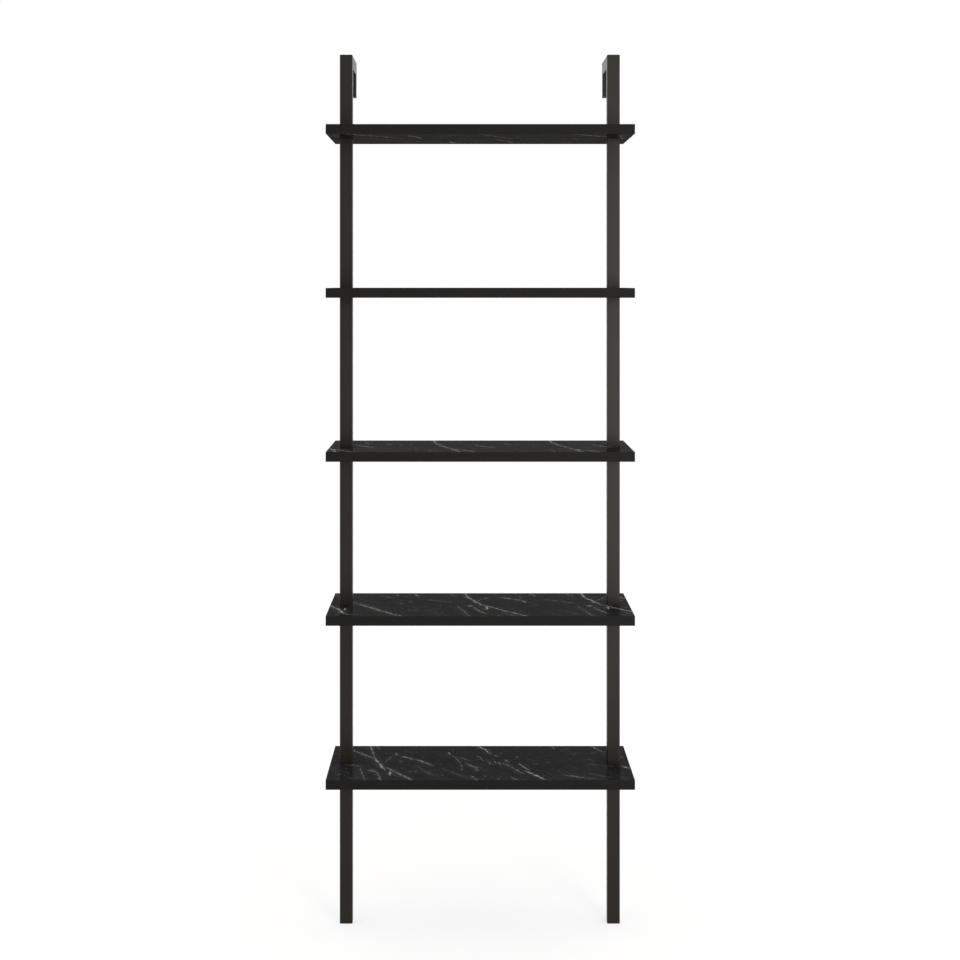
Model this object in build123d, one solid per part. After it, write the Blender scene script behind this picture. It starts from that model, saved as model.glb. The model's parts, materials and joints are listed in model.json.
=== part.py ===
from build123d import *
import os

# Wall-fixed ladder shelf: five marble-look boards clamped between the sections of two square-tube uprights.
# Sizes are in millimetres. X runs to the right, Y back to the wall and Z up.
# The origin lies on the floor, midway under the boards.
# Boards and post sections are numbered from the floor.

# Boards
shelf_count = 5
shelf_width = 600.0
shelf_depth = 300.0
core_thickness = 18.0
laminate_thickness = 0.5
edge_band_thickness = 1.0
edge_arris = 0.4

# Uprights, made of square steel tube
post_side = 25.4
post_wall = 1.2
post_corner_radius = 1.5
post_edge_offset = 32.0  # from a board's side edge to the upright's axis
leg_length = 299.5
bay_height = 299.0

# Hooks at the top of the uprights
hook_height = 149.5  # from the top board to the top of the arm
hook_drop = 71.0  # from the top of the arm down to the tube's open end
wall_screw_hole = 6.0  # in the tube face that lies on the room's wall
wall_screw_access = 12.0  # in the tube face opposite, to let the screw's head through

# Connector sleeves that pass through the boards
sleeve_wall = 1.5
sleeve_corner_relief = 0.9  # how much more a sleeve's corners are cut back than the corners inside a post
sleeve_reach = 42.0  # into the section on each side of the board; it is welded into the lower one
sleeve_clearance = 0.3  # on each side, sleeve in post
board_clearance = 0.5  # on each side, sleeve in board

# Lock screws and the nuts inside the sleeves
screw_diameter = 6.0
screw_length = 10.0
screw_hole = 6.6
screw_offset = 20.0  # from a board's top to the axis of the screw in the section above it
screw_head_diameter = 10.5
screw_crown_diameter = 6.4
screw_head_height = 3.3
screw_socket = 4.0  # across flats
screw_socket_depth = 2.0
screw_facets = 16  # sides of a screw's round outlines
nut_across_flats = 10.0
nut_height = 5.0
thread_clearance = 0.1  # on the radius

# Plastic caps in the open tube ends
cap_flange = 2.0
cap_edge_chamfer = 0.5
cap_plug_length = 15.0
cap_plug_wall = 1.6
cap_rib_height = 0.6
cap_rib_thickness = 1.0
cap_rib_pitch = 4.5
cap_clearance = 0.1  # on each side, ribs in tube

# Sizes that follow from those above
board_thickness = core_thickness + 2 * laminate_thickness
post_bore = post_side - 2 * post_wall
post_bore_radius = max(post_corner_radius - 2 * post_wall, 0)  # sharp inside where the wall is thick
sleeve_side = post_bore - 2 * sleeve_clearance
board_hole = sleeve_side + 2 * board_clearance
upright_x = shelf_width / 2 - post_edge_offset
hook_reach = shelf_depth / 2 - post_side / 2  # to the drop's axis; its back is level with the boards'
sides = {"left": -upright_x, "right": upright_x}


def shelf_bottom(number):
    """Height of a board's underside; board 1 is the lowest."""
    return cap_flange + leg_length + (number - 1) * (board_thickness + bay_height)


def shelf_top(number):
    """Height of a board's top face."""
    return shelf_bottom(number) + board_thickness


def rounded_square(side, radius):
    """A square outline with round corners, or with sharp ones where no radius is left."""
    if radius > 0:
        return RectangleRounded(side, side, radius)
    return Rectangle(side, side)


def post_tube(length):
    """A length of the uprights' tube, standing on the XY plane."""
    outline = rounded_square(post_side, post_corner_radius) - rounded_square(post_bore, post_bore_radius)
    return extrude(outline, amount=length)


def hole_along_y(diameter, start_y, end_y, height):
    """The round tool that bores a tube wall from front to back."""
    middle = Pos(0, (start_y + end_y) / 2, height)
    return middle * Rot(90, 0, 0) * Cylinder(diameter / 2, end_y - start_y)


def rear_screw_hole(height):
    """The tool for a lock screw's hole, from the upright's axis out through its rear wall."""
    return hole_along_y(screw_hole, 0, post_side, height)


def drilled_panel(thickness):
    """A board layer with its two upright holes, standing on the XY plane."""
    width = shelf_width - 2 * edge_band_thickness
    depth = shelf_depth - 2 * edge_band_thickness
    holes = [Pos(x, 0) * Rectangle(board_hole, board_hole) for x in sides.values()]
    return extrude(Rectangle(width, depth) - holes, amount=thickness)


def edge_band(length, ends_show):
    """One edge band along X that faces -Y, its outer edges eased, and its ends too where they show."""
    band = Box(length, edge_band_thickness, board_thickness)
    face = band.faces().sort_by(Axis.Y)[0]
    eased = face.edges().filter_by(Axis.X)
    if ends_show:
        eased = face.edges() + band.edges().filter_by(Axis.Y)
    return chamfer(eased, min(edge_arris, 0.4 * edge_band_thickness))


def edge_bands():
    """The four bands round a board on the XY plane: full-width ones at front and rear, others between."""
    middle = board_thickness / 2
    long_band = edge_band(shelf_width, ends_show=True)
    side_band = edge_band(shelf_depth - 2 * edge_band_thickness, ends_show=False)
    long_y = (shelf_depth - edge_band_thickness) / 2
    side_x = (shelf_width - edge_band_thickness) / 2
    bands = [Rot(0, 0, turn) * Pos(0, -long_y, middle) * long_band for turn in (0, 180)]
    bands += [Rot(0, 0, turn) * Pos(0, -side_x, middle) * side_band for turn in (90, 270)]
    return Compound(children=bands)


def bay_post():
    """The section between two boards, screwed to the sleeve in its lower end."""
    return post_tube(bay_height) - rear_screw_hole(screw_offset)


def hook_post():
    """The section above the top board: up, back to the wall and down, with mitred and welded corners."""
    arm_z = hook_height - post_side / 2
    drop_z = hook_height - hook_drop
    route = Polyline((0, 0, 0), (0, 0, arm_z), (0, hook_reach, arm_z), (0, hook_reach, drop_z))
    skin = sweep(rounded_square(post_side, post_corner_radius), route, transition=Transition.RIGHT)
    bore = sweep(rounded_square(post_bore, post_bore_radius), route, transition=Transition.RIGHT)
    tube = skin - bore - rear_screw_hole(screw_offset)
    # The wall screw passes midway between the arm and the plug of the end cap.
    hole_z = (drop_z + cap_plug_length + hook_height - post_side) / 2
    screw_way = hole_along_y(wall_screw_hole, hook_reach, hook_reach + post_side, hole_z)
    access_way = hole_along_y(wall_screw_access, hook_reach - post_side, hook_reach, hole_z)
    return tube - screw_way - access_way


def sleeve():
    """The connector tube, standing on its lower end, with a screw hole for the section above the board."""
    corner = post_bore_radius + sleeve_corner_relief
    outline = chamfer(Rectangle(sleeve_side, sleeve_side).vertices(), corner)
    bore_side = sleeve_side - 2 * sleeve_wall
    tube = extrude(outline - Rectangle(bore_side, bore_side), amount=board_thickness + 2 * sleeve_reach)
    return tube - rear_screw_hole(sleeve_reach + board_thickness + screw_offset)


def lock_screw():
    """A button-head socket screw along Y, its head's seat on the XZ plane and its head towards the wall."""
    seat = RegularPolygon(screw_head_diameter / 2, screw_facets)
    crown = Pos(0, 0, screw_head_height) * RegularPolygon(screw_crown_diameter / 2, screw_facets)
    head = loft([seat, crown], ruled=True)
    shank = extrude(RegularPolygon(screw_diameter / 2, screw_facets), amount=-screw_length)
    hexagon = RegularPolygon(screw_socket / 2, 6, major_radius=False)
    socket = extrude(Pos(0, 0, screw_head_height) * hexagon, amount=-screw_socket_depth)
    return Rot(-90, 0, 0) * (head + shank - socket)


def sleeve_nut():
    """A hexagon nut along Y, its seat on the XZ plane and its body towards the upright's axis."""
    hexagon = RegularPolygon(nut_across_flats / 2, 6, major_radius=False)
    outline = hexagon - Circle(screw_diameter / 2 + thread_clearance)
    return Rot(90, 0, 0) * extrude(outline, amount=nut_height)


def tube_cap():
    """A plastic cap with its flange on the XY plane and a hollow, ribbed plug standing up from it."""
    flange = extrude(rounded_square(post_side, post_corner_radius), amount=cap_flange)
    flange = chamfer(flange.faces().sort_by(Axis.Z)[0].edges(), min(cap_edge_chamfer, 0.4 * cap_flange))
    rib_side = post_bore - 2 * cap_clearance
    plug_side = rib_side - 2 * cap_rib_height
    hollow_side = plug_side - 2 * cap_plug_wall
    hollow = Rectangle(hollow_side, hollow_side)
    plug = extrude(Rectangle(plug_side, plug_side) - hollow, amount=cap_plug_length)
    cap = flange + Pos(0, 0, cap_flange) * plug
    rib_outline = rounded_square(rib_side, post_bore_radius - cap_clearance)
    rib = extrude(rib_outline - hollow, amount=cap_rib_thickness)
    rib_z = cap_flange + cap_rib_pitch
    while rib_z + cap_rib_thickness < cap_flange + cap_plug_length:
        cap += Pos(0, 0, rib_z) * rib
        rib_z += cap_rib_pitch
    return cap


def board_pieces():
    """Core, laminates and edge bands of every board."""
    core = drilled_panel(core_thickness)
    laminate = drilled_panel(laminate_thickness)
    bands = edge_bands()
    pieces = {}
    for number in range(1, shelf_count + 1):
        bottom = shelf_bottom(number)
        pieces[f"shelf_{number}_bottom_laminate"] = Pos(0, 0, bottom) * laminate
        pieces[f"shelf_{number}_core"] = Pos(0, 0, bottom + laminate_thickness) * core
        pieces[f"shelf_{number}_top_laminate"] = Pos(0, 0, shelf_top(number) - laminate_thickness) * laminate
        pieces[f"shelf_{number}_edge_bands"] = Pos(0, 0, bottom) * bands
    return pieces


def upright_pieces(side, x):
    """Tube sections, sleeves and caps of one upright."""
    post = bay_post()
    connector = sleeve()
    cap = tube_cap()
    hook_z = shelf_top(shelf_count)
    hook_cap_z = hook_z + hook_height - hook_drop - cap_flange
    pieces = {
        f"{side}_foot_cap": Pos(x, 0, 0) * cap,
        f"{side}_leg": Pos(x, 0, cap_flange) * post_tube(leg_length),
        f"{side}_hook_post": Pos(x, 0, hook_z) * hook_post(),
        f"{side}_hook_cap": Pos(x, hook_reach, hook_cap_z) * cap,
    }
    for number in range(1, shelf_count + 1):
        pieces[f"{side}_sleeve_{number}"] = Pos(x, 0, shelf_bottom(number) - sleeve_reach) * connector
    for number in range(1, shelf_count):
        pieces[f"{side}_post_{number}"] = Pos(x, 0, shelf_top(number)) * post
    return pieces


def fastener_pieces():
    """Every lock screw in one group and every sleeve nut in another."""
    screw = lock_screw()
    nut = sleeve_nut()
    nut_y = sleeve_side / 2 - sleeve_wall
    screws = []
    nuts = []
    for x in sides.values():
        for number in range(1, shelf_count + 1):
            height = shelf_top(number) + screw_offset
            screws.append(Pos(x, post_side / 2, height) * screw)
            nuts.append(Pos(x, nut_y, height) * nut)
    return {"lock_screws": Compound(children=screws), "sleeve_nuts": Compound(children=nuts)}


os.makedirs("parts", exist_ok=True)
model = board_pieces()
for side_name, side_x in sides.items():
    model.update(upright_pieces(side_name, side_x))
model.update(fastener_pieces())
for node, shape in model.items():
    export_step(shape, f"parts/{node}.step")
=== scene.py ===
# Looks of the wall-fixed ladder shelf: finishes, fine screws, studio and camera around the CAD solids.
# Lengths are in metres, except on the boards' marble print and on the screws, which are in millimetres.
import json
import math
import bmesh
import bpy
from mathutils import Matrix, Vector


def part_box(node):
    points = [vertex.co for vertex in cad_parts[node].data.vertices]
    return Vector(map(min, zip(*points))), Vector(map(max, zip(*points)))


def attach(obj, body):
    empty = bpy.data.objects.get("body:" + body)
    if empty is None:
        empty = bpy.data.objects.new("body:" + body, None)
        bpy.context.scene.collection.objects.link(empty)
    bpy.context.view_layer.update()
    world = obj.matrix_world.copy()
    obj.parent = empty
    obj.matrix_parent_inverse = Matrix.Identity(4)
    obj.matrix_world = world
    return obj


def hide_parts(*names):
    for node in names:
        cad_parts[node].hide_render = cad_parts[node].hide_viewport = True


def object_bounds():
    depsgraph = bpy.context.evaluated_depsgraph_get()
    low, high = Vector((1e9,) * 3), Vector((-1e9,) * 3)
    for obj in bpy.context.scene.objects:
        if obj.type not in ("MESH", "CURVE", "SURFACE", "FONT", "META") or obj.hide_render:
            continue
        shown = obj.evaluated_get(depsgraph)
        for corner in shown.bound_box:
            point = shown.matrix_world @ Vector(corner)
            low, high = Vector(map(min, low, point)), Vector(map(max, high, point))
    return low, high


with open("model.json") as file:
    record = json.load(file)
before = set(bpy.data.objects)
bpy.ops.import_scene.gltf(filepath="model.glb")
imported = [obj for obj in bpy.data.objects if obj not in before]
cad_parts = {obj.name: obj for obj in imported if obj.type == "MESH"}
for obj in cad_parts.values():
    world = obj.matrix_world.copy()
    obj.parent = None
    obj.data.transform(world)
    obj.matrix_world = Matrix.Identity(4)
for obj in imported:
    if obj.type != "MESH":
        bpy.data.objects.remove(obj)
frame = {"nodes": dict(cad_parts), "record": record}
cad_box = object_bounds()

MM = 0.001
SHELF_COUNT = 5

# Camera: level, at about the height of the second board from the top, framed by lens shift
IMAGE_SIZE = 960  # pixels, both ways
VANISHING_PIXEL = (465.87, 283.64)  # what the camera looks straight at, from the image's top left corner
CAMERA_PLACE = Vector((-0.028, -4.198, 1.283))
CAMERA_LENS = 78.3  # mm
CAMERA_SENSOR = 36.0  # mm

# Studio: a white background, a pale floor and one soft light from the front right
WORLD_LIGHT = 0.75  # on the object; the background itself is seen at 1
FLOOR_RADIUS = 4.0
FLOOR_SIDES = 96
FLOOR_COLOUR = (0.5, 0.44, 0.37, 1)  # pale and a little warm
FLOOR_GLOW = (0.65, 0.685, 0.727, 1)  # lifts the floor that is seen to white and its shadows to grey
KEY_PLACE = Vector((1.58, -4.4, 0.98))
KEY_TARGET = Vector((0.0, 0.0, 0.95))
KEY_WIDTH = 1.0
KEY_HEIGHT = 2.05
KEY_POWER = 100.0  # W

# Button-head lock screws at the uprights' rear, in millimetres
SCREW_SIDES = 48  # a multiple of the socket's six
SCREW_OFFSET = 20.0  # above each board
HEAD_RADIUS = 5.25
HEAD_RIM = 0.5
HEAD_HEIGHT = 3.3
CROWN_RADIUS = 2.9
DOME_STEPS = 7
SOCKET_FLATS = 4.0
SOCKET_DEPTH = 2.0
SOCKET_CHAMFER = 0.25
SHANK_RADIUS = 3.0
SHANK_LENGTH = 10.0
SHANK_CHAMFER = 0.7
SHARP_ANGLE = math.radians(30)  # edges sharper than this stay sharp in the shading

# Colours of the finishes, from their dark patches to their pale ones
MARBLE_GROUND = ((0.0165, 0.0165, 0.0175, 1), (0.031, 0.031, 0.032, 1))
MARBLE_VEIN = (0.75, 0.75, 0.73, 1)
POWDER_COAT = ((0.0098, 0.0076, 0.0044, 1), (0.0128, 0.0102, 0.0062, 1))
EDGE_BAND = ((0.007, 0.0062, 0.0053, 1), (0.0094, 0.0085, 0.0074, 1))
CAP_PLASTIC = ((0.012, 0.012, 0.012, 1), (0.02, 0.02, 0.02, 1))
ZINC_STEEL = ((0.5, 0.51, 0.52, 1), (0.66, 0.67, 0.68, 1))
BLACK_OXIDE = ((0.014, 0.014, 0.015, 1), (0.045, 0.044, 0.043, 1))
CHIPBOARD = ((0.3, 0.2, 0.11, 1), (0.56, 0.43, 0.28, 1))
NOISE_SPAN = (0.3, 0.7)  # where nearly all values of a noise lie
NOISE_MIDDLE = 0.5

# Clear coat of the marble laminate
TOP_GLOSS = 0.035  # weight of the coat
# Painted shade: the undersides' coat is weaker than the tops' only so that they reflect less and look
# darker, standing in for darker surroundings below them
SHADED_UNDERSIDE_GLOSS = 0.024

# Marble print, in millimetres seen from above: X to the right, Y to the rear, middle of the board at 0, 0
VEIN_LEAN = math.radians(-62)  # the way the veins run, from +X
VEIN_WANDER = ((0.03, 8.0), (0.13, 6.0))  # scale per mm and amount of each noise that bends the veins
VEIN_LEAST_SPAN = 0.001  # sideways, so that a straight vein has a span too
VEIN_END_FADE = 7.0  # a vein has its full brightness from about a sixth of its length
VEIN_EDGE = (1.0, 0.15)  # where the line begins and where it is full, of its half width
VEIN_SWELL = (0.3, 1.8)  # least and most width along a vein, of its kind's
VEIN_GAPS = (0.15, 1.1)  # least and most brightness along a vein, of its kind's
HAZE_REACH = 4.0  # of the vein's half width
HAZE_BRIGHTNESS = 0.09  # of the vein's brightness
FLECK_REACH = 14.0  # from the vein's middle
FLECK_BRIGHTNESS = (0.03, 0.5)  # between the flecks and on them, of the vein's brightness
FLECK_SCALE = (0.12, 0.3)  # per millimetre, along the veins and across them, like the scales below

# Ground between the drawn veins
GROUND_WANDER = (0.04, 10.0)  # scale per mm and amount of the noise that bends the ground
CLOUD_SCALE = (0.008, 0.03)
GRAIN_SCALE = (0.05, 0.28)
GRAIN_DEPTH = 0.4  # of the span from the ground's dark colour to its pale one, either way
HAIRLINE_SCALE = (0.007, 0.035)
HAIRLINE_EDGE = 0.012  # half a hairline's width, in values of its noise
HAIRLINE_BRIGHTNESS = 0.16
SPECK_SCALE = (0.05, 0.11)
SPECK_WANDER = (0.25, 14.0)  # scale per mm and amount of the noise that makes specks ragged
SPECK_EDGE = (0.3, 0.05)  # where a speck begins and where it is full, of the spacing of its cells
SPECK_FREE = 0.66  # share of the cells that stay without a speck
SPECK_BRIGHTNESS = 0.34
SPECK_BREAKS = (0.1, 1.5)  # least and most brightness within a speck, of its own
SPECK_CLUSTER_SCALE = (0.01, 0.022)

# Strokes of the print: each is its kind and the points that it runs through
PRINT_PERIOD = 240.0  # what a motif repeats at along X
SECOND_MOTIF_START = -140.0  # the X from which the second print's motif is used
STROKE_KINDS = {  # half width and brightness
    "bold": (1.8, 1.1),
    "strong": (1.4, 1.0),
    "broad": (2.3, 0.75),
    "medium": (1.3, 0.6),
    "fine": (1.0, 0.42),
    "faint": (1.2, 0.25),
    "smudge": (6.0, 0.16),
    "spot": (2.6, 0.8),
    "dab": (2.4, 0.5),
    "glint": (3.0, 1.0),
}
LOWEST_PRINT = [
    ("medium", (-228, 160), (-220, 100), (-212, 35), (-202, -10), (-192, -40), (-189, -80)),
    ("spot", (-226, 150), (-221, 118)),
    ("broad", (-213, 44), (-202, -10), (-190, -66)),
    ("glint", (-204, -4), (-195, -36)),
    ("fine", (-214, 148), (-206, 118)),
    ("glint", (-178, -78), (-175, -114)),
    ("medium", (-275, 128), (-257, 102), (-235, 67), (-205, 18)),
    ("strong", (-186, -40), (-161, -95), (-110, -190)),
    ("strong", (-160, 58), (-145, 40), (-125, 20), (-93, -32)),
    ("dab", (-172, 88), (-168, 62)),
    ("fine", (-240, -35), (-233, -90), (-218, -190)),
    ("medium", (-274, -20), (-255, -26), (-235, -34)),
    ("medium", (-220, -55), (-205, -80), (-200, -110), (-187, -190)),
    ("dab", (-222, -66), (-208, -82)),
    ("fine", (-178, 60), (-182, 45), (-191, -5)),
    ("faint", (-130, -18), (-110, -70), (-90, -120)),
    ("dab", (-64, 95), (-61, 66)),
    ("fine", (-58, 66), (-46, 28), (-38, -14)),
    ("faint", (-39, -6), (-36, -40), (-36, -75)),
    ("faint", (-80, -45), (-52, -90), (-22, -138)),
    ("faint", (-45, 52), (-15, 8)),
    ("smudge", (-30, -8), (-12, -40), (-6, -80)),
    ("fine", (-24, -14), (-10, -46), (-8, -74)),
    ("fine", (-30, -2), (-20, -30)),
    ("fine", (-12, -28), (-1, -54)),
    ("medium", (-18, -112), (7, -195)),
    ("strong", (-29, 190), (7, 125), (17, 95), (24, 68)),
    ("dab", (30, 66), (37, 45)),
    ("fine", (-4, 62), (9, 6)),
    ("dab", (52, 24), (57, 4)),
    ("medium", (28, 14), (34, -8)),
    ("medium", (36, 4), (44, -22)),
    ("faint", (12, 30), (24, -14)),
    ("fine", (18, 2), (22, -20)),
    ("medium", (42, 6), (60, -35), (72, -65), (88, -102)),
    ("medium", (76, -6), (90, -45), (100, -75)),
    ("spot", (85, -30), (92, -52)),
    ("strong", (84, -64), (109, -109), (120, -135), (136, -195)),
    ("glint", (107, -105), (118, -129)),
    ("fine", (140, 190), (158, 112)),
    ("faint", (135, 10), (139, -12)),
    ("faint", (168, 112), (172, 92)),
    ("faint", (8, -112), (12, -130)),
    ("medium", (60, -122), (85, -190)),
    ("medium", (158, -102), (182, -118), (228, -142)),
    ("faint", (205, -92), (260, -132)),
    ("medium", (227, 190), (247, 105), (254, 88)),
    ("faint", (215, -12), (270, -37)),
    ("strong", (284, -30), (300, -55)),
]
SECOND_PRINT_MOTIF = [
    ("broad", (-29, 190), (-22, 85), (-10, 42), (-1, 10), (6, -28)),
    ("glint", (13, -30), (14, -66)),
    ("broad", (2, 6), (16, -25), (50, -85), (119, -190)),
    ("fine", (40, -100), (88, -190)),
    ("broad", (42, 100), (60, 75), (80, 55), (95, 18)),
    ("fine", (-45, -5), (-42, -42), (-32, -90), (-16, -190)),
    ("dab", (-26, -16), (-18, -34)),
    ("dab", (-21, -8), (-14, -27)),
    ("medium", (-14, -34), (0, -90), (14, -126)),
    ("medium", (20, 95), (2, 58), (-8, 36)),
    ("medium", (-22, 78), (-12, 52), (-8, 30)),
    ("spot", (-12, 36), (-7, 18)),
    ("faint", (-6, 20), (8, -8), (24, -20)),
    ("smudge", (-110, 66), (-46, 12)),
    ("dab", (-134, 140), (-124, 105)),
    ("fine", (-62, 140), (-45, 110)),
    ("faint", (80, 124), (83, 66)),
]
SECOND_PRINT = [
    ("bold", (-310, 0), (-297, -25), (-275, -80), (-262, -125), (-245, -134)),
    ("spot", (-269, -52), (-264, -78)),
    ("fine", (-262, 52), (-240, 10), (-215, -30), (-200, -56)),
    ("strong", (-268, 40), (-230, -22), (-205, -65), (-130, -190)),
    ("faint", (-250, 16), (-222, -38), (-190, -110)),
    ("faint", (-206, 128), (-176, 78)),
    ("faint", (-174, 160), (-166, 104)),
    ("faint", (-298, 132), (-288, 92)),
]
MIDDLE_PRINT_MOTIF = [
    ("strong", (-96, 190), (-85, 50), (-67, -35), (-55, -80), (-32, -190)),
    ("fine", (-190, 84), (-181, 22)),
    ("strong", (-10, 40), (5, 0), (34, -42)),
    ("faint", (-102, -80), (-91, -190)),
    ("smudge", (-38, -88), (-6, -150)),
    ("medium", (-44, -80), (-27, -116), (14, -190)),
    ("spot", (-49, -82), (-43, -104)),
    ("faint", (58, 62), (62, 34)),
]
MIDDLE_PRINT = [
    ("fine", (-236, 120), (-224, 30)),
    ("fine", (-306, -60), (-277, -110), (-222, -190)),
]
UNDERSIDE_PRINT = [
    ("strong", (-268, 160), (-246, 128), (-200, 78), (-161, 36)),
    ("fine", (-262, 66), (-196, -8), (-131, -99)),
    ("faint", (-292, 131), (-278, 76)),
    ("strong", (-142, 104), (-114, 22)),
    ("faint", (-94, 128), (-50, 106), (-2, 84)),
    ("spot", (-63, -72), (-51, -120)),
    ("medium", (-2, 140), (42, 56), (75, 22)),
    ("medium", (30, 4), (50, -52), (74, -112)),
    ("broad", (184, 138), (212, 106), (252, 68)),
    ("faint", (184, 36), (201, -36)),
    ("medium", (273, 112), (288, -1)),
]


def link_or_set(tree, socket, value):
    """Links a socket to another node's output, or sets it to a plain value."""
    if isinstance(value, bpy.types.NodeSocket):
        tree.links.new(value, socket)
    else:
        socket.default_value = value


def add_node(tree, kind, inputs=None, **settings):
    """Adds a shader node with its settings and inputs."""
    node = tree.nodes.new("ShaderNode" + kind)
    for name, value in settings.items():
        setattr(node, name, value)
    for socket, value in (inputs or {}).items():
        link_or_set(tree, node.inputs[socket], value)
    return node


def maths(tree, operation, *values):
    """The output of a math node."""
    return add_node(tree, "Math", dict(enumerate(values)), operation=operation).outputs[0]


def map_range(tree, value, from_range, to_range=(0.0, 1.0), smooth=False):
    """The output of a clamped map range node."""
    inputs = {0: value, 1: from_range[0], 2: from_range[1], 3: to_range[0], 4: to_range[1]}
    kind = "SMOOTHSTEP" if smooth else "LINEAR"
    return add_node(tree, "MapRange", inputs, interpolation_type=kind).outputs[0]


def noise_node(tree, place, scale, detail, roughness):
    """A noise texture over a place; its outputs are a value and a colour."""
    inputs = {"Vector": place, "Scale": scale, "Detail": detail, "Roughness": roughness}
    return add_node(tree, "TexNoise", inputs)


def noise(tree, place, scale, detail=2.0, roughness=0.5):
    """The value of a noise; its scale is per metre on an object and per millimetre on the print."""
    return noise_node(tree, place, scale, detail, roughness).outputs[0]


def mix_colours(tree, factor, first, second):
    """The output of a colour mix node, whose colour sockets come after those of its other kinds."""
    node = add_node(tree, "Mix", {0: factor, 6: first, 7: second}, data_type="RGBA")
    return node.outputs[2]


def stretched(tree, place, scale):
    """The place multiplied by a scale for each axis."""
    return add_node(tree, "VectorMath", {0: place, 1: scale}, operation="MULTIPLY").outputs[0]


def wobbled(tree, place, scale, amount):
    """The place moved about by a noise, by up to about half the amount."""
    colour = noise_node(tree, place, scale, detail=2.0, roughness=0.5).outputs[1]
    drift = add_node(tree, "VectorMath", {0: colour, 1: (NOISE_MIDDLE,) * 3}, operation="SUBTRACT")
    drift = stretched(tree, drift.outputs[0], (amount, amount, 0.0))
    return add_node(tree, "VectorMath", {0: place, 1: drift}, operation="ADD").outputs[0]


def object_place(tree):
    """The place on the object in metres, which rides with it."""
    return add_node(tree, "TexCoord").outputs["Object"]


def bump(tree, height, distance, strength):
    """The normal output of a bump node; its distance is in metres."""
    inputs = {"Height": height, "Distance": distance, "Strength": strength}
    return add_node(tree, "Bump", inputs).outputs[0]


def new_material(name):
    """A node material of one Principled shader; gives the material, its tree and the shader."""
    material = bpy.data.materials.new(name)
    material.use_nodes = True
    tree = material.node_tree
    tree.nodes.clear()
    shader = add_node(tree, "BsdfPrincipled")
    output = add_node(tree, "OutputMaterial")
    tree.links.new(shader.outputs[0], output.inputs["Surface"])
    return material, tree, shader


def set_shader(tree, shader, **values):
    """Sets or links the shader's sockets, whose names are written with underscores here."""
    for name, value in values.items():
        link_or_set(tree, shader.inputs[name.replace("_", " ")], value)


def new_group(name, inputs, outputs):
    """An empty node group with its sockets; gives the tree, its input node and its output node."""
    tree = bpy.data.node_groups.new(name, "ShaderNodeTree")
    for label, kind in inputs:
        tree.interface.new_socket(label, in_out="INPUT", socket_type="NodeSocket" + kind)
    for label, kind in outputs:
        tree.interface.new_socket(label, in_out="OUTPUT", socket_type="NodeSocket" + kind)
    return tree, tree.nodes.new("NodeGroupInput"), tree.nodes.new("NodeGroupOutput")


def use_group(tree, group, inputs):
    """A node that uses a group."""
    node = tree.nodes.new("ShaderNodeGroup")
    node.node_tree = group
    for socket, value in inputs.items():
        link_or_set(tree, node.inputs[socket], value)
    return node


def turned_along_veins(tree, place):
    """The place turned so that its first axis runs along the veins."""
    inputs = {"Vector": place, "Angle": -VEIN_LEAN}
    return add_node(tree, "VectorRotate", inputs, rotation_type="Z_AXIS").outputs[0]


def streaks(tree, turned, scale, detail=2.0, roughness=0.5):
    """A noise with one scale along the veins and another across them, over a place that is turned so."""
    return noise(tree, stretched(tree, turned, (*scale, 0.0)), 1.0, detail, roughness)


def along_veins(point):
    """A point of the print as the way along the veins and the way across them."""
    x, y = point
    along = x * math.cos(VEIN_LEAN) + y * math.sin(VEIN_LEAN)
    across = y * math.cos(VEIN_LEAN) - x * math.sin(VEIN_LEAN)
    return along, across


def stroke_group():
    """One vein, from the way along it (0 to 1), the offset from its middle, half width and brightness.

    Vein is the brightness of its line and haze, and Near tells how close it is, for the flecks beside it.
    """
    inputs = [(label, "Float") for label in ("Along", "Offset", "Half width", "Brightness")]
    tree, given, result = new_group("vein_stroke", inputs, [("Vein", "Float"), ("Near", "Float")])
    along, offset, half_width, brightness = given.outputs[:4]
    rest = maths(tree, "SUBTRACT", 1.0, along)
    ends = maths(tree, "MULTIPLY", maths(tree, "MULTIPLY", along, rest), VEIN_END_FADE)
    lit = maths(tree, "MULTIPLY", brightness, maths(tree, "MINIMUM", ends, 1.0))
    distance = maths(tree, "ABSOLUTE", offset)
    ratio = maths(tree, "DIVIDE", distance, half_width)
    line = map_range(tree, ratio, VEIN_EDGE, smooth=True)
    haze = map_range(tree, ratio, (HAZE_REACH, 0.0), (0.0, HAZE_BRIGHTNESS), smooth=True)
    line = maths(tree, "MAXIMUM", line, haze)
    near = map_range(tree, distance, (FLECK_REACH, 0.0), smooth=True)
    tree.links.new(maths(tree, "MULTIPLY", line, lit), result.inputs["Vein"])
    tree.links.new(maths(tree, "MULTIPLY", near, lit), result.inputs["Near"])
    return tree


def stroke_middle(tree, along, points):
    """Where a vein's middle lies across the veins, at each share of the way along it."""
    start, end = points[0][0], points[-1][0]
    low = min(across for way, across in points)
    high = max(across for way, across in points) + VEIN_LEAST_SPAN
    node = add_node(tree, "FloatCurve", {"Value": along})
    curve = node.mapping.curves[0]
    for number, (way, across) in enumerate(points):
        place = ((way - start) / (end - start), (across - low) / (high - low))
        if number in (0, len(points) - 1):
            curve.points[0 if number == 0 else -1].location = place
        else:
            curve.points.new(*place)
    node.mapping.update()
    return map_range(tree, node.outputs[0], (0.0, 1.0), (low, high))


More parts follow.
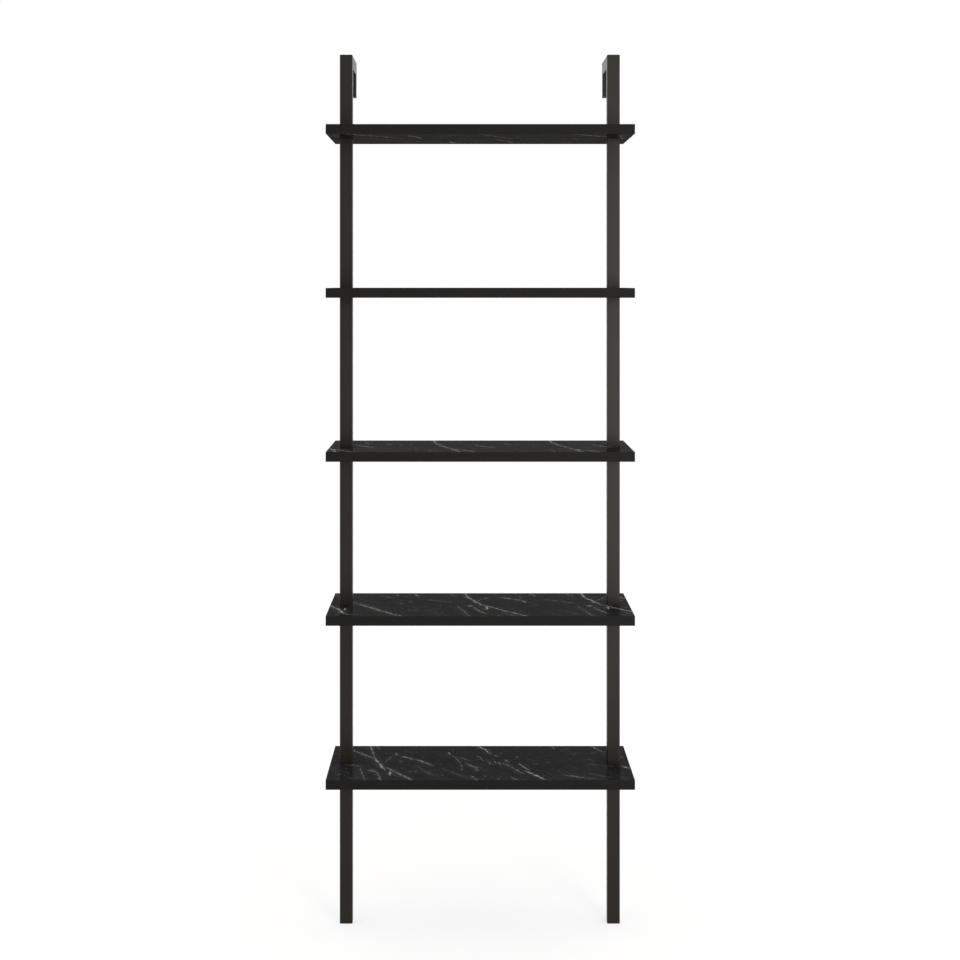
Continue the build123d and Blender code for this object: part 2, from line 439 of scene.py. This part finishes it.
def print_group(name, strokes, stroke):
    """Brightness of the drawn veins at a place on a board."""
    tree, given, result = new_group(name, [("Place", "Vector")], [("Vein", "Float")])
    place = given.outputs[0]
    wandering = place
    for scale, amount in VEIN_WANDER:
        wandering = wobbled(tree, wandering, scale, amount)
    turned = turned_along_veins(tree, wandering)
    way, across = add_node(tree, "SeparateXYZ", {0: turned}).outputs[:2]
    swell = noise(tree, place, scale=0.07, detail=3.0, roughness=0.6)
    swell = map_range(tree, swell, (0.33, 0.67), VEIN_SWELL)
    veins = 0.0
    near = 0.0
    for kind, *points in strokes:
        half_width, brightness = STROKE_KINDS[kind]
        ways = sorted(along_veins(point) for point in points)
        along = map_range(tree, way, (ways[0][0], ways[-1][0]))
        offset = maths(tree, "SUBTRACT", across, stroke_middle(tree, along, ways))
        width = maths(tree, "MULTIPLY", swell, half_width)
        drawn = use_group(tree, stroke, {0: along, 1: offset, 2: width, 3: brightness})
        veins = maths(tree, "MAXIMUM", veins, drawn.outputs["Vein"])
        near = maths(tree, "MAXIMUM", near, drawn.outputs["Near"])
    gaps = noise(tree, turned, scale=0.09, detail=4.0, roughness=0.7)
    veins = maths(tree, "MULTIPLY", veins, map_range(tree, gaps, (0.36, 0.62), VEIN_GAPS))
    fleck = streaks(tree, turned, FLECK_SCALE, detail=3.0, roughness=0.65)
    fleck = map_range(tree, fleck, (0.58, 0.74), FLECK_BRIGHTNESS)
    veins = maths(tree, "MAXIMUM", veins, maths(tree, "MULTIPLY", near, fleck))
    tree.links.new(veins, result.inputs["Vein"])
    return tree


def ground_cloud(tree, turned):
    """Soft clouds with a fine grain, as the way from the ground's dark colour to its pale one."""
    cloud = streaks(tree, turned, CLOUD_SCALE, detail=5.0, roughness=0.6)
    grain = streaks(tree, turned, GRAIN_SCALE, detail=3.0, roughness=0.6)
    grain = map_range(tree, grain, (0.38, 0.62), (-GRAIN_DEPTH, GRAIN_DEPTH))
    return maths(tree, "ADD", map_range(tree, cloud, (0.3, 0.72)), grain)


def hairlines(tree, place, turned):
    """Thin, faint lines that run with the veins, on a part of the board."""
    middle = maths(tree, "SUBTRACT", streaks(tree, turned, HAIRLINE_SCALE), NOISE_MIDDLE)
    line = map_range(tree, maths(tree, "ABSOLUTE", middle), (HAIRLINE_EDGE, 0.0), smooth=True)
    share = map_range(tree, noise(tree, place, scale=0.03), (0.5, 0.68))
    line = maths(tree, "MULTIPLY", line, share)
    return maths(tree, "MULTIPLY", line, HAIRLINE_BRIGHTNESS)


def specks(tree, turned):
    """Small, ragged marks that lie in clusters, some brighter than others."""
    ragged = wobbled(tree, turned, *SPECK_WANDER)
    cell_place = stretched(tree, ragged, (*SPECK_SCALE, 0.0))
    cell = add_node(tree, "TexVoronoi", {"Vector": cell_place, "Scale": 1.0})
    mark = map_range(tree, cell.outputs["Distance"], SPECK_EDGE, smooth=True)
    pick = add_node(tree, "SeparateColor", {0: cell.outputs["Color"]}).outputs[0]
    picked = map_range(tree, pick, (SPECK_FREE, 1.0), (0.0, SPECK_BRIGHTNESS))
    cluster = map_range(tree, streaks(tree, turned, SPECK_CLUSTER_SCALE), (0.42, 0.62))
    broken = noise(tree, turned, scale=0.4, detail=4.0, roughness=0.7)
    broken = map_range(tree, broken, (0.44, 0.6), SPECK_BREAKS)
    for share in (picked, cluster, broken):
        mark = maths(tree, "MULTIPLY", mark, share)
    return mark


def ground_group():
    """What lies between the drawn veins.

    Cloud is the shade of the ground, and Trace the brightness of its hairlines and specks.
    """
    outputs = [("Cloud", "Float"), ("Trace", "Float")]
    tree, given, result = new_group("marble_ground", [("Place", "Vector")], outputs)
    place = given.outputs[0]
    turned = turned_along_veins(tree, wobbled(tree, place, *GROUND_WANDER))
    trace = maths(tree, "MAXIMUM", hairlines(tree, place, turned), specks(tree, turned))
    tree.links.new(ground_cloud(tree, turned), result.inputs["Cloud"])
    tree.links.new(trace, result.inputs["Trace"])
    return tree


def laminate(node, veins, ground, turn, shift):
    """Marble-look laminate of one board face, its print turned, shifted and on an underside mirrored."""
    material, tree, shader = new_material(node)
    underside = "bottom" in node
    to_print = (1 / MM, -1 / MM if underside else 1 / MM, 0.0)
    inputs = {
        "Vector": stretched(tree, object_place(tree), to_print),
        "Rotation": (0.0, 0.0, turn),
        "Location": (*shift, 0.0),
    }
    place = add_node(tree, "Mapping", inputs).outputs[0]
    base = use_group(tree, ground, {0: place})
    vein = use_group(tree, veins, {0: place}).outputs["Vein"]
    vein = maths(tree, "MAXIMUM", vein, base.outputs["Trace"])
    colour = mix_colours(tree, base.outputs["Cloud"], *MARBLE_GROUND)
    colour = mix_colours(tree, vein, colour, MARBLE_VEIN)
    relief = noise(tree, place, scale=0.5, detail=3.0)
    roughness = map_range(tree, relief, NOISE_SPAN, (0.44, 0.56))
    surface = bump(tree, relief, distance=0.00002, strength=0.25)
    # Painted shade: the weaker coat on an underside darkens it, standing in for darker surroundings below
    gloss = SHADED_UNDERSIDE_GLOSS if underside else TOP_GLOSS
    set_shader(tree, shader, Base_Color=colour, Roughness=roughness, Normal=surface)
    set_shader(tree, shader, Specular_IOR_Level=0.0)
    set_shader(tree, shader, Coat_Weight=gloss, Coat_Roughness=0.06, Coat_IOR=1.5, Coat_Normal=surface)
    return material


def powder_coat():
    """Satin, slightly brown black powder coat with a fine grain."""
    material, tree, shader = new_material("powder_coat")
    place = object_place(tree)
    patch = map_range(tree, noise(tree, place, scale=14.0, detail=4.0), NOISE_SPAN)
    colour = mix_colours(tree, patch, *POWDER_COAT)
    grain = noise(tree, place, scale=900.0)
    roughness = map_range(tree, grain, NOISE_SPAN, (0.3, 0.37))
    surface = bump(tree, grain, distance=0.00004, strength=0.35)
    set_shader(tree, shader, Base_Color=colour, Roughness=roughness, Normal=surface)
    set_shader(tree, shader, Specular_IOR_Level=0.2)
    return material


def edge_band():
    """Satin black plastic edge band, drawn out along its length."""
    material, tree, shader = new_material("edge_band")
    place = object_place(tree)
    streak = noise(tree, stretched(tree, place, (40.0, 40.0, 900.0)), scale=1.0, detail=3.0)
    colour = mix_colours(tree, map_range(tree, streak, NOISE_SPAN), *EDGE_BAND)
    grain = noise(tree, place, scale=1400.0)
    roughness = map_range(tree, grain, NOISE_SPAN, (0.45, 0.55))
    surface = bump(tree, grain, distance=0.00002, strength=0.25)
    set_shader(tree, shader, Base_Color=colour, Roughness=roughness, Normal=surface)
    set_shader(tree, shader, Specular_IOR_Level=0.085)
    return material


def cap_plastic():
    """Matt black moulded plastic."""
    material, tree, shader = new_material("cap_plastic")
    grain = noise(tree, object_place(tree), scale=1800.0, detail=3.0)
    colour = mix_colours(tree, grain, *CAP_PLASTIC)
    roughness = map_range(tree, grain, NOISE_SPAN, (0.5, 0.65))
    surface = bump(tree, grain, distance=0.00005, strength=0.4)
    set_shader(tree, shader, Base_Color=colour, Roughness=roughness, Normal=surface)
    set_shader(tree, shader, Specular_IOR_Level=0.3)
    return material


def zinc_steel():
    """Bright zinc plate with faint drawing lines along the tube."""
    material, tree, shader = new_material("zinc_steel")
    line_place = stretched(tree, object_place(tree), (700.0, 700.0, 25.0))
    line = noise(tree, line_place, scale=1.0, detail=3.0)
    colour = mix_colours(tree, line, *ZINC_STEEL)
    roughness = map_range(tree, line, NOISE_SPAN, (0.28, 0.42))
    set_shader(tree, shader, Base_Color=colour, Roughness=roughness, Metallic=1.0)
    return material


def black_oxide():
    """Blackened steel of the lock screws, with a little wear."""
    material, tree, shader = new_material("screw_black")
    wear = noise(tree, object_place(tree), scale=600.0, detail=4.0, roughness=0.65)
    colour = mix_colours(tree, map_range(tree, wear, (0.5, 0.75)), *BLACK_OXIDE)
    roughness = map_range(tree, wear, NOISE_SPAN, (0.42, 0.3))
    set_shader(tree, shader, Base_Color=colour, Roughness=roughness)
    set_shader(tree, shader, Metallic=0.35, Specular_IOR_Level=0.4)
    return material


def chipboard():
    """Raw chipboard: flakes of several browns with a fine, rough surface."""
    material, tree, shader = new_material("chipboard")
    place = object_place(tree)
    flake_place = stretched(tree, place, (1.0, 1.0, 2.5))
    flake = add_node(tree, "TexVoronoi", {"Vector": flake_place, "Scale": 350.0})
    shade = add_node(tree, "SeparateColor", {0: flake.outputs["Color"]}).outputs[0]
    colour = mix_colours(tree, shade, *CHIPBOARD)
    surface = bump(tree, noise(tree, place, scale=2500.0, detail=3.0), distance=0.0002, strength=0.5)
    set_shader(tree, shader, Base_Color=colour, Roughness=0.85, Normal=surface)
    return material


def repeated(motif):
    """A print's motif, with its neighbours at the print's period to the left and the right."""
    copies = []
    for step in (-1, 0, 1):
        for kind, *points in motif:
            copies.append((kind, *[(x + step * PRINT_PERIOD, y) for x, y in points]))
    return copies


def leftmost(stroke):
    """The X of a stroke's leftmost point."""
    return min(x for x, y in stroke[1:])


def on_board(strokes):
    """The strokes that reach the board."""
    half_width = cad_box[1][0] / MM
    return [stroke for stroke in strokes if any(abs(x) < half_width for x, y in stroke[1:])]


def board_laminates():
    """The marble laminate of every board's top and underside, by node."""
    stroke = stroke_group()
    ground = ground_group()
    second_motif = repeated(SECOND_PRINT_MOTIF)
    second_motif = [drawn for drawn in second_motif if leftmost(drawn) > SECOND_MOTIF_START]
    second_strokes = on_board(SECOND_PRINT + second_motif)
    middle_strokes = on_board(MIDDLE_PRINT + repeated(MIDDLE_PRINT_MOTIF))
    lowest = print_group("lowest_print", LOWEST_PRINT, stroke)
    second = print_group("second_print", second_strokes, stroke)
    middle = print_group("middle_print", middle_strokes, stroke)
    underside = print_group("underside_print", UNDERSIDE_PRINT, stroke)
    half_turn = math.pi
    faces = {
        "shelf_1_top_laminate": (lowest, 0.0, (0.0, 0.0)),
        "shelf_2_top_laminate": (second, 0.0, (0.0, 0.0)),
        "shelf_3_top_laminate": (middle, 0.0, (0.0, 0.0)),
        "shelf_4_top_laminate": (lowest, half_turn, (20.0, 0.0)),
        "shelf_5_top_laminate": (second, half_turn, (0.0, 0.0)),
        "shelf_1_bottom_laminate": (middle, half_turn, (0.0, 0.0)),
        "shelf_2_bottom_laminate": (lowest, half_turn, (0.0, 0.0)),
        "shelf_3_bottom_laminate": (second, half_turn, (30.0, 0.0)),
        "shelf_4_bottom_laminate": (middle, half_turn, (60.0, 0.0)),
        "shelf_5_bottom_laminate": (underside, 0.0, (0.0, 0.0)),
    }
    materials = {}
    for node, (veins, turn, shift) in faces.items():
        materials[node] = laminate(node, veins, ground, turn, shift)
    return materials


def assign_materials():
    """Gives every CAD node its finish, and gives back the finishes by the record's material slot."""
    by_slot = {
        "chipboard": chipboard(),
        "edge_band": edge_band(),
        "powder_coat": powder_coat(),
        "zinc_steel": zinc_steel(),
        "screw_black": black_oxide(),
        "cap_plastic": cap_plastic(),
    }
    laminates = board_laminates()
    for subpart in frame["record"]["subparts"]:
        node = subpart["node"]
        material = laminates.get(node) or by_slot[subpart["material_slot"]]
        for slot in frame["nodes"][node].material_slots:
            slot.material = material
    return by_slot


def screw_rings():
    """The screw's outline from the tip of its shank to the top of its head, as radius and height."""
    rings = [
        (SHANK_RADIUS - SHANK_CHAMFER, -SHANK_LENGTH),
        (SHANK_RADIUS, SHANK_CHAMFER - SHANK_LENGTH),
        (SHANK_RADIUS, 0.0),
        (HEAD_RADIUS, 0.0),
        (HEAD_RADIUS, HEAD_RIM),
    ]
    for step in range(1, DOME_STEPS + 1):
        turn = math.pi / 2 * step / DOME_STEPS
        radius = CROWN_RADIUS + (HEAD_RADIUS - CROWN_RADIUS) * math.cos(turn)
        rings.append((radius, HEAD_RIM + (HEAD_HEIGHT - HEAD_RIM) * math.sin(turn)))
    return rings


def hexagon_radius(angle, flats):
    """Distance from a hexagon's middle to its side, in a direction."""
    sixth = math.pi / 3
    return flats / 2 / math.cos((angle % sixth) - sixth / 2)


def add_screw(mesh, place):
    """Adds one closed screw to a mesh, with its head's seat at the place and its head towards +Y."""
    angles = [2 * math.pi * side / SCREW_SIDES for side in range(SCREW_SIDES)]
    outline = [[(radius, angle, height) for angle in angles] for radius, height in screw_rings()]
    for grow, height in ((SOCKET_CHAMFER, 0.0), (0.0, -SOCKET_CHAMFER), (0.0, -SOCKET_DEPTH)):
        ring = [(hexagon_radius(a, SOCKET_FLATS) + grow, a, HEAD_HEIGHT + height) for a in angles]
        outline.append(ring)
    loops = []
    for ring in outline:
        points = [Vector((r * math.cos(a), h, -r * math.sin(a))) * MM + place for r, a, h in ring]
        loops.append([mesh.verts.new(point) for point in points])
    for lower, upper in zip(loops, loops[1:]):
        for side in range(SCREW_SIDES):
            after = (side + 1) % SCREW_SIDES
            mesh.faces.new((lower[side], lower[after], upper[after], upper[side]))
    mesh.faces.new(reversed(loops[0]))
    mesh.faces.new(loops[-1])


def add_mesh(name, mesh, material):
    """Puts a finished mesh into the scene as an object of one material."""
    data = bpy.data.meshes.new(name)
    mesh.to_mesh(data)
    mesh.free()
    data.materials.append(material)
    piece = bpy.data.objects.new(name, data)
    bpy.context.scene.collection.objects.link(piece)
    return piece


def add_lock_screws(material):
    """Finely modelled screws in place of the CAD ones."""
    mesh = bmesh.new()
    for side in ("left", "right"):
        low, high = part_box(f"{side}_leg")
        for number in range(1, SHELF_COUNT + 1):
            shelf_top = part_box(f"shelf_{number}_top_laminate")[1].z
            add_screw(mesh, Vector(((low.x + high.x) / 2, high.y, shelf_top + SCREW_OFFSET * MM)))
    bmesh.ops.recalc_face_normals(mesh, faces=mesh.faces)
    screws = add_mesh("button_head_lock_screws", mesh, material)
    screws.data.shade_smooth()
    screws.data.set_sharp_from_angle(angle=SHARP_ANGLE)
    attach(screws, "root")
    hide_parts("lock_screws")


def seen_ray(tree):
    """1 for a ray that shows the background itself: from the camera, a mirror or a clear surface."""
    path = add_node(tree, "LightPath").outputs
    mirrored_ray = maths(tree, "MAXIMUM", path["Is Glossy Ray"], path["Is Transmission Ray"])
    return maths(tree, "MAXIMUM", path["Is Camera Ray"], mirrored_ray)


def white_world():
    """A background that is seen white and lights the object a little less brightly."""
    world = bpy.data.worlds.new("studio")
    world.use_nodes = True
    tree = world.node_tree
    tree.nodes.clear()
    strength = map_range(tree, seen_ray(tree), (0.0, 1.0), (WORLD_LIGHT, 1.0))
    sky = add_node(tree, "Background", {"Color": (1, 1, 1, 1), "Strength": strength})
    output = add_node(tree, "OutputWorld")
    tree.links.new(sky.outputs[0], output.inputs["Surface"])
    bpy.context.scene.world = world


def floor_material():
    """Pale floor that is white where the light falls on it and keeps a faint shadow of the object."""
    material = bpy.data.materials.new("studio_floor")
    material.use_nodes = True
    tree = material.node_tree
    tree.nodes.clear()
    diffuse = add_node(tree, "BsdfDiffuse", {"Color": FLOOR_COLOUR})
    glow = add_node(tree, "Emission", {"Color": FLOOR_GLOW, "Strength": seen_ray(tree)})
    both = add_node(tree, "AddShader", {0: diffuse.outputs[0], 1: glow.outputs[0]})
    output = add_node(tree, "OutputMaterial")
    tree.links.new(both.outputs[0], output.inputs["Surface"])
    return material


def add_floor():
    """A round floor under the feet."""
    mesh = bmesh.new()
    bmesh.ops.create_circle(mesh, cap_ends=True, segments=FLOOR_SIDES, radius=FLOOR_RADIUS)
    floor = add_mesh("studio_floor", mesh, floor_material())


def add_key_light():
    """A soft area light that the camera doesn't see."""
    data = bpy.data.lights.new("key", "AREA")
    data.shape = "RECTANGLE"
    data.size = KEY_WIDTH
    data.size_y = KEY_HEIGHT
    data.energy = KEY_POWER
    light = bpy.data.objects.new("key", data)
    light.location = KEY_PLACE
    light.rotation_euler = (KEY_TARGET - KEY_PLACE).to_track_quat("-Z", "Y").to_euler()
    light.visible_camera = False
    bpy.context.scene.collection.objects.link(light)


def add_camera():
    """The level camera."""
    data = bpy.data.cameras.new("camera")
    data.lens = CAMERA_LENS
    data.sensor_width = CAMERA_SENSOR
    data.shift_x = (IMAGE_SIZE / 2 - VANISHING_PIXEL[0]) / IMAGE_SIZE
    data.shift_y = (VANISHING_PIXEL[1] - IMAGE_SIZE / 2) / IMAGE_SIZE
    camera = bpy.data.objects.new("camera", data)
    camera.location = CAMERA_PLACE
    camera.rotation_euler = (math.pi / 2, 0.0, 0.0)
    bpy.context.scene.collection.objects.link(camera)
    bpy.context.scene.camera = camera


finishes = assign_materials()
add_lock_screws(finishes["screw_black"])
white_world()
add_floor()
add_key_light()
add_camera()
bpy.context.scene.view_settings.view_transform = "Standard"
